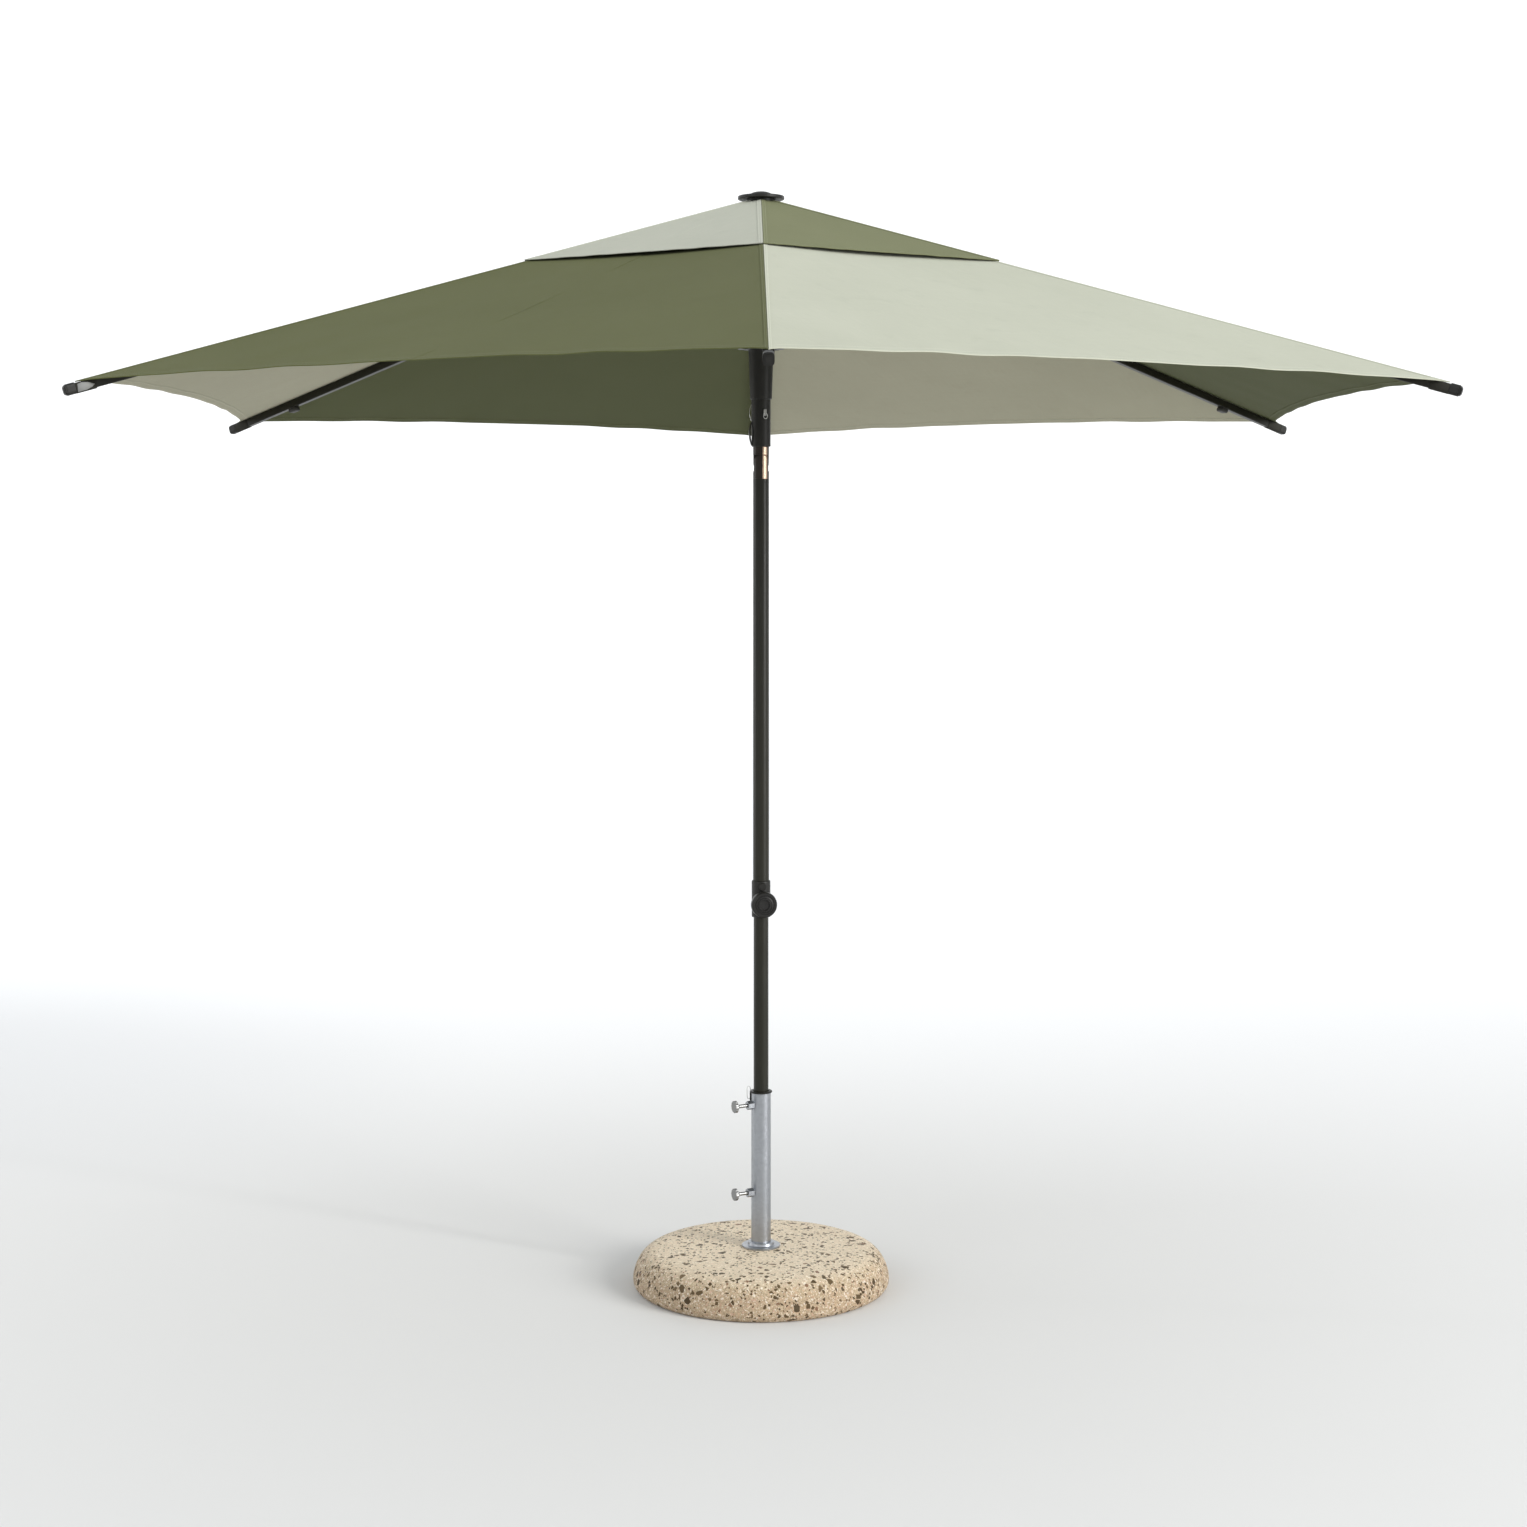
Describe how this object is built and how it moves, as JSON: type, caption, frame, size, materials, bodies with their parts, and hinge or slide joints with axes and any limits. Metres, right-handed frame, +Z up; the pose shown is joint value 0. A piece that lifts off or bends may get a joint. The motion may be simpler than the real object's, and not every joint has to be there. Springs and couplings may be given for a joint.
{
  "type": "patio umbrella with base",
  "caption": "Centre-pole patio umbrella with a hexagonal two-tone canopy, vent tier, tilt joint, height slide and a round terrazzo base with a galvanised socket.",
  "frame": {"origin": "middle of the base's underside, on the ground", "axes": "+Z up along the pole; rib 1 points along -Y; the canopy tilts toward +X"},
  "size_m": [2.615, 3.0146, 2.3709],
  "materials": {
    "terrazzo": "cast terrazzo, ground and sealed",
    "galvanised": "hot-dip galvanised",
    "frame": "dark powder coat",
    "plastic": "moulded",
    "tilt_metal": "warm bright metal",
    "catch_steel": "bright",
    "olive_cloth": "woven",
    "pale_cloth": "woven"
  },
  "bodies": {
    "base": {"terrazzo_base": "terrazzo", "base_flange": "galvanised", "base_tube": "galvanised", "reducer_collar": "plastic"},
    "upper_screw": {"upper_thumb_screw": "galvanised"},
    "lower_screw": {"lower_thumb_screw": "galvanised"},
    "pole_foot": {"pole_foot_plug": "plastic"},
    "lower_pole": {"lower_pole": "frame"},
    "upper_pole": {"upper_pole": "frame", "height_collar": "plastic", "tilt_fork": "tilt_metal"},
    "height_knob": {"height_knob": "plastic"},
    "mast": {"tilt_tongue": "tilt_metal", "mast_tube": "frame", "crown_hub": "plastic", "finial": "plastic"},
    "runner": {"runner": "plastic"},
    "runner_catch": {"runner_catch": "catch_steel"},
    "rib_1": {"rib_1": "frame", "rib_cap_1": "plastic", "canopy_1a": "olive_cloth", "canopy_1b": "pale_cloth", "vent_1a": "pale_cloth", "vent_1b": "olive_cloth"},
    "strut_1": {"strut_1": "frame"},
    "rib_2": {"rib_2": "frame", "rib_cap_2": "plastic", "canopy_2a": "pale_cloth", "canopy_2b": "olive_cloth", "vent_2a": "olive_cloth", "vent_2b": "pale_cloth"},
    "strut_2": {"strut_2": "frame"},
    "rib_3": {"rib_3": "frame", "rib_cap_3": "plastic", "canopy_3a": "olive_cloth", "canopy_3b": "pale_cloth", "vent_3a": "pale_cloth", "vent_3b": "olive_cloth"},
    "strut_3": {"strut_3": "frame"},
    "rib_4": {"rib_4": "frame", "rib_cap_4": "plastic", "canopy_4a": "pale_cloth", "canopy_4b": "olive_cloth", "vent_4a": "olive_cloth", "vent_4b": "pale_cloth"},
    "strut_4": {"strut_4": "frame"},
    "rib_5": {"rib_5": "frame", "rib_cap_5": "plastic", "canopy_5a": "olive_cloth", "canopy_5b": "pale_cloth", "vent_5a": "pale_cloth", "vent_5b": "olive_cloth"},
    "strut_5": {"strut_5": "frame"},
    "rib_6": {"rib_6": "frame", "rib_cap_6": "plastic", "canopy_6a": "pale_cloth", "canopy_6b": "olive_cloth", "vent_6a": "olive_cloth", "vent_6b": "pale_cloth"},
    "strut_6": {"strut_6": "frame"}
  },
  "joints": [
    {"name": "upper_screw_turn", "type": "hinge", "parent": "base", "child": "upper_screw", "pos_m": [0, 0, 0.392], "axis": [-0.887, -0.4617, 0], "range_deg": [-180, 180]},
    {"name": "lower_screw_turn", "type": "hinge", "parent": "base", "child": "lower_screw", "pos_m": [0, 0, 0.203], "axis": [-0.887, -0.4617, 0], "range_deg": [-180, 180]},
    {"name": "pole_lift_out", "type": "slide", "parent": "base", "child": "pole_foot", "axis": [0, 0, 1], "range_m": [0, 0.375]},
    {"name": "pole_swivel", "type": "hinge", "parent": "pole_foot", "child": "lower_pole", "pos_m": [0, 0, 0.05], "axis": [0, 0, 1], "range_deg": [-180, 180]},
    {"name": "height_slide", "type": "slide", "parent": "lower_pole", "child": "upper_pole", "axis": [0, 0, 1], "range_m": [-0.36, 0.25]},
    {"name": "height_knob_turn", "type": "hinge", "parent": "upper_pole", "child": "height_knob", "pos_m": [0, 0, 0.829], "axis": [0.1736, -0.9848, 0], "range_deg": [-180, 180]},
    {"name": "canopy_tilt", "type": "hinge", "parent": "upper_pole", "child": "mast", "pos_m": [0, 0, 1.7818], "axis": [0, 1, 0], "range_deg": [0, 30]},
    {"name": "runner_slide", "type": "slide", "parent": "mast", "child": "runner", "axis": [0, 0, 1], "range_m": [-0.578, 0], "deforming": ["canopy_1a", "canopy_1b", "canopy_2a", "canopy_2b", "canopy_3a", "canopy_3b", "canopy_4a", "canopy_4b", "canopy_5a", "canopy_5b", "canopy_6a", "canopy_6b", "vent_1a", "vent_1b", "vent_2a", "vent_2b", "vent_3a", "vent_3b", "vent_4a", "vent_4b", "vent_5a", "vent_5b", "vent_6a", "vent_6b"]},
    {"name": "catch_press", "type": "slide", "parent": "runner", "child": "runner_catch", "axis": [-0.3746, 0.9272, 0], "range_m": [0, 0.002], "stiffness_N_per_m": 300},
    {"name": "rib_1_hinge", "type": "hinge", "parent": "mast", "child": "rib_1", "pos_m": [0, -0.04, 2.33072], "axis": [1, 0, 0], "range_deg": [0, 67.58]},
    {"name": "rib_2_hinge", "type": "hinge", "parent": "mast", "child": "rib_2", "pos_m": [0.03464, -0.02, 2.33072], "axis": [0.5, 0.866, 0], "range_deg": [0, 67.58]},
    {"name": "rib_3_hinge", "type": "hinge", "parent": "mast", "child": "rib_3", "pos_m": [0.03464, 0.02, 2.33072], "axis": [-0.5, 0.866, 0], "range_deg": [0, 67.58]},
    {"name": "rib_4_hinge", "type": "hinge", "parent": "mast", "child": "rib_4", "pos_m": [0, 0.04, 2.33072], "axis": [-1, 0, 0], "range_deg": [0, 67.58]},
    {"name": "rib_5_hinge", "type": "hinge", "parent": "mast", "child": "rib_5", "pos_m": [-0.03464, 0.02, 2.33072], "axis": [-0.5, -0.866, 0], "range_deg": [0, 67.58]},
    {"name": "rib_6_hinge", "type": "hinge", "parent": "mast", "child": "rib_6", "pos_m": [-0.03464, -0.02, 2.33072], "axis": [0.5, -0.866, 0], "range_deg": [0, 67.58]},
    {"name": "strut_1_hinge", "type": "hinge", "parent": "rib_1", "child": "strut_1", "pos_m": [0, -0.45033, 2.18482], "axis": [1, 0, 0], "range_deg": [-135.15, 0]},
    {"name": "strut_2_hinge", "type": "hinge", "parent": "rib_2", "child": "strut_2", "pos_m": [0.39, -0.22517, 2.18482], "axis": [0.5, 0.866, 0], "range_deg": [-135.15, 0]},
    {"name": "strut_3_hinge", "type": "hinge", "parent": "rib_3", "child": "strut_3", "pos_m": [0.39, 0.22517, 2.18482], "axis": [-0.5, 0.866, 0], "range_deg": [-135.15, 0]},
    {"name": "strut_4_hinge", "type": "hinge", "parent": "rib_4", "child": "strut_4", "pos_m": [0, 0.45033, 2.18482], "axis": [-1, 0, 0], "range_deg": [-135.15, 0]},
    {"name": "strut_5_hinge", "type": "hinge", "parent": "rib_5", "child": "strut_5", "pos_m": [-0.39, 0.22517, 2.18482], "axis": [-0.5, -0.866, 0], "range_deg": [-135.15, 0]},
    {"name": "strut_6_hinge", "type": "hinge", "parent": "rib_6", "child": "strut_6", "pos_m": [-0.39, -0.22517, 2.18482], "axis": [0.5, -0.866, 0], "range_deg": [-135.15, 0]}
  ],
  "couplings": [
    {"joint": "rib_1_hinge", "follows": "runner_slide", "rad_per_m": -2.036},
    {"joint": "rib_2_hinge", "follows": "runner_slide", "rad_per_m": -2.036},
    {"joint": "rib_3_hinge", "follows": "runner_slide", "rad_per_m": -2.036},
    {"joint": "rib_4_hinge", "follows": "runner_slide", "rad_per_m": -2.036},
    {"joint": "rib_5_hinge", "follows": "runner_slide", "rad_per_m": -2.036},
    {"joint": "rib_6_hinge", "follows": "runner_slide", "rad_per_m": -2.036},
    {"joint": "strut_1_hinge", "follows": "runner_slide", "rad_per_m": 4.072},
    {"joint": "strut_2_hinge", "follows": "runner_slide", "rad_per_m": 4.072},
    {"joint": "strut_3_hinge", "follows": "runner_slide", "rad_per_m": 4.072},
    {"joint": "strut_4_hinge", "follows": "runner_slide", "rad_per_m": 4.072},
    {"joint": "strut_5_hinge", "follows": "runner_slide", "rad_per_m": 4.072},
    {"joint": "strut_6_hinge", "follows": "runner_slide", "rad_per_m": 4.072}
  ]
}
